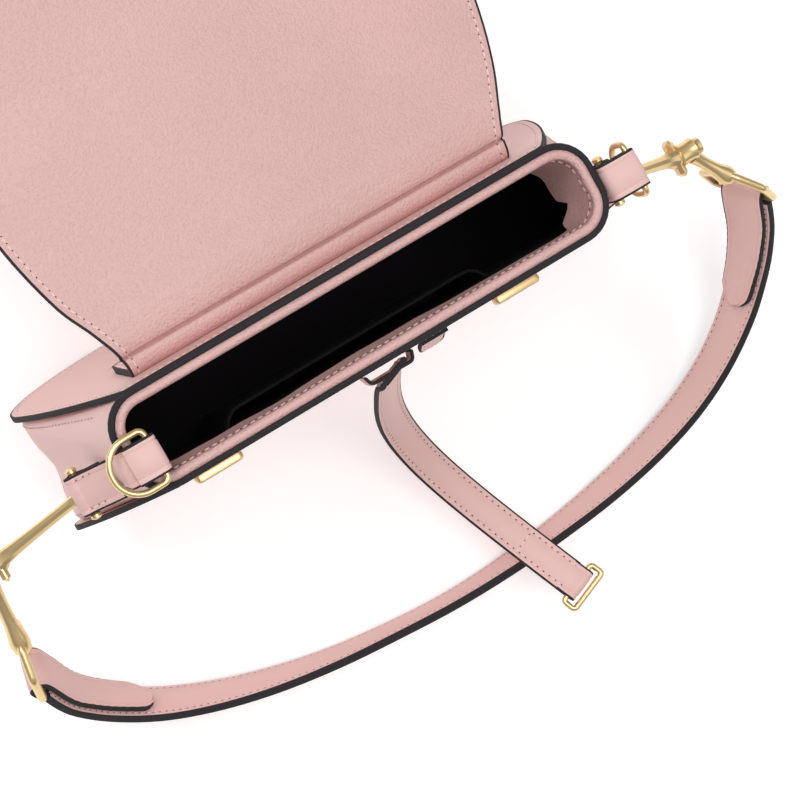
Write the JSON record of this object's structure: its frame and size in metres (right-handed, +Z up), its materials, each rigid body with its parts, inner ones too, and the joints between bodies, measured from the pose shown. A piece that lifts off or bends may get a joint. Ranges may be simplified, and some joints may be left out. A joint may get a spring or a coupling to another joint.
{
  "type": "crossbody purse",
  "caption": "Upright pink leather purse with a fold-over flap lying open, a leather shoulder strap on gold side rods and a closing strap.",
  "frame": {"origin": "middle of the flat base that the purse stands on", "axes": "+X along the purse to its right end, -Y out of its front, +Z up through its mouth"},
  "size_m": [0.3887, 0.4277, 0.1773],
  "materials": {
    "pink_leather": "fine pebble grain with a soft sheen",
    "pink_lining_leather": "smooth with a soft sheen",
    "edge_paint": "glossy painted edge",
    "black_twill": "fine twill",
    "zip_tape": "woven tape",
    "zip_teeth": "coil",
    "fibre_board": "hidden",
    "magnet_steel": "hidden",
    "gold_metal": "pale polished gold plate"
  },
  "bodies": {
    "bag_body": {"front_panel": "pink_leather", "back_panel": "pink_leather", "gusset": "pink_leather", "front_board": "fibre_board", "back_board": "fibre_board", "base_board": "fibre_board", "body_magnet": "magnet_steel", "lining": "black_twill", "rim_facing": "pink_lining_leather", "rim_piping": "edge_paint", "rim_binding": "pink_lining_leather", "slip_pocket": "black_twill", "slip_pocket_trim": "black_twill", "zip_tape": "zip_tape", "zip_teeth": "zip_teeth", "strap_keeper": "pink_leather", "closure_strap_root": "pink_leather", "front_tongue": "pink_leather", "left_front_bar": "gold_metal", "right_front_bar": "gold_metal", "flap_anchor": "pink_leather", "left_tab_anchor": "pink_leather", "right_tab_anchor": "pink_leather", "left_side_loop": "pink_leather", "right_side_loop": "pink_leather", "left_loop_pin": "gold_metal", "right_loop_pin": "gold_metal", "left_side_rod": "gold_metal", "right_side_rod": "gold_metal"},
    "flap_neck": {"flap_neck_outer": "pink_leather", "flap_neck_lining": "pink_lining_leather"},
    "flap_bridge": {"flap_bridge_outer": "pink_leather", "flap_bridge_lining": "pink_lining_leather"},
    "flap_front": {"flap_front_outer": "pink_leather", "flap_front_lining": "pink_lining_leather", "flap_magnet": "magnet_steel"},
    "left_ring_tab": {"left_ring_tab": "pink_leather"},
    "left_d_ring": {"left_d_ring": "gold_metal"},
    "right_ring_tab": {"right_ring_tab": "pink_leather"},
    "right_d_ring": {"right_d_ring": "gold_metal"},
    "shoulder_strap": {"shoulder_strap": "pink_leather", "left_strap_fold": "pink_leather", "right_strap_fold": "pink_leather", "left_strap_return": "pink_leather", "right_strap_return": "pink_leather", "left_strap_ring": "gold_metal", "right_strap_ring": "gold_metal", "left_strap_link": "gold_metal", "right_strap_link": "gold_metal"},
    "closure_strap_upper": {"closure_strap_upper": "pink_leather"},
    "closure_strap_lower": {"closure_strap_lower": "pink_leather"},
    "closure_clasp": {"closure_clasp": "gold_metal"},
    "zip_slider": {"zip_slider": "gold_metal"},
    "zip_puller": {"zip_puller": "gold_metal"}
  },
  "joints": [
    {"name": "flap_hinge", "type": "hinge", "parent": "bag_body", "child": "flap_neck", "pos_m": [0, 0.028, 0.15], "axis": [1, 0, 0], "range_deg": [-12, 90]},
    {"name": "flap_bridge_fold", "type": "hinge", "parent": "flap_neck", "child": "flap_bridge", "pos_m": [0, 0.059, 0.15], "axis": [1, 0, 0], "range_deg": [-12, 90]},
    {"name": "flap_front_fold", "type": "hinge", "parent": "flap_bridge", "child": "flap_front", "pos_m": [0, 0.135, 0.15], "axis": [1, 0, 0], "range_deg": [-12, 90]},
    {"name": "closure_strap_fold", "type": "hinge", "parent": "bag_body", "child": "closure_strap_upper", "pos_m": [0, -0.0276, 0.1518], "axis": [0.9336, 0.3584, 0], "range_deg": [-1.68, 12.6]},
    {"name": "closure_strap_knee", "type": "hinge", "parent": "closure_strap_upper", "child": "closure_strap_lower", "pos_m": [0.011, -0.05626, 0.0656], "axis": [0.9336, 0.3584, 0], "range_deg": [-12.6, 1.68]},
    {"name": "closure_clasp_hinge", "type": "hinge", "parent": "closure_strap_lower", "child": "closure_clasp", "pos_m": [0.05327, -0.16637, 0.03993], "axis": [0.9336, 0.3584, 0], "range_deg": [-60, 60]},
    {"name": "shoulder_strap_swing", "type": "hinge", "parent": "bag_body", "child": "shoulder_strap", "pos_m": [0, -0.017, 0.104], "axis": [-1, 0, 0], "range_deg": [0, 120], "deforming": ["closure_strap_lower", "closure_clasp"]},
    {"name": "left_ring_tab_fold", "type": "hinge", "parent": "bag_body", "child": "left_ring_tab", "pos_m": [-0.11, -0.005, 0.1716], "axis": [0, 1, 0], "range_deg": [-75, 0]},
    {"name": "left_d_ring_swing", "type": "hinge", "parent": "left_ring_tab", "child": "left_d_ring", "pos_m": [-0.098, -0.005, 0.1742], "axis": [0, -1, 0], "range_deg": [-150, 0]},
    {"name": "right_ring_tab_fold", "type": "hinge", "parent": "bag_body", "child": "right_ring_tab", "pos_m": [0.111, -0.005, 0.1716], "axis": [0, 1, 0], "range_deg": [-75, 0]},
    {"name": "right_d_ring_swing", "type": "hinge", "parent": "right_ring_tab", "child": "right_d_ring", "pos_m": [0.1236, -0.005, 0.1706], "axis": [0, 1, 0], "range_deg": [-100, 20]},
    {"name": "zip_slide", "type": "slide", "parent": "bag_body", "child": "zip_slider", "axis": [1, 0, 0], "range_m": [-0.092, 0.034]},
    {"name": "zip_puller_swing", "type": "hinge", "parent": "zip_slider", "child": "zip_puller", "pos_m": [0.028, 0.01194, 0.127], "axis": [1, 0, 0], "range_deg": [-130, 0]}
  ],
  "couplings": [
    {"joint": "flap_bridge_fold", "follows": "flap_hinge", "ratio": 1},
    {"joint": "flap_front_fold", "follows": "flap_hinge", "ratio": 1},
    {"joint": "closure_strap_fold", "follows": "flap_hinge", "ratio": 0.14},
    {"joint": "closure_strap_knee", "follows": "flap_hinge", "ratio": -0.14}
  ]
}
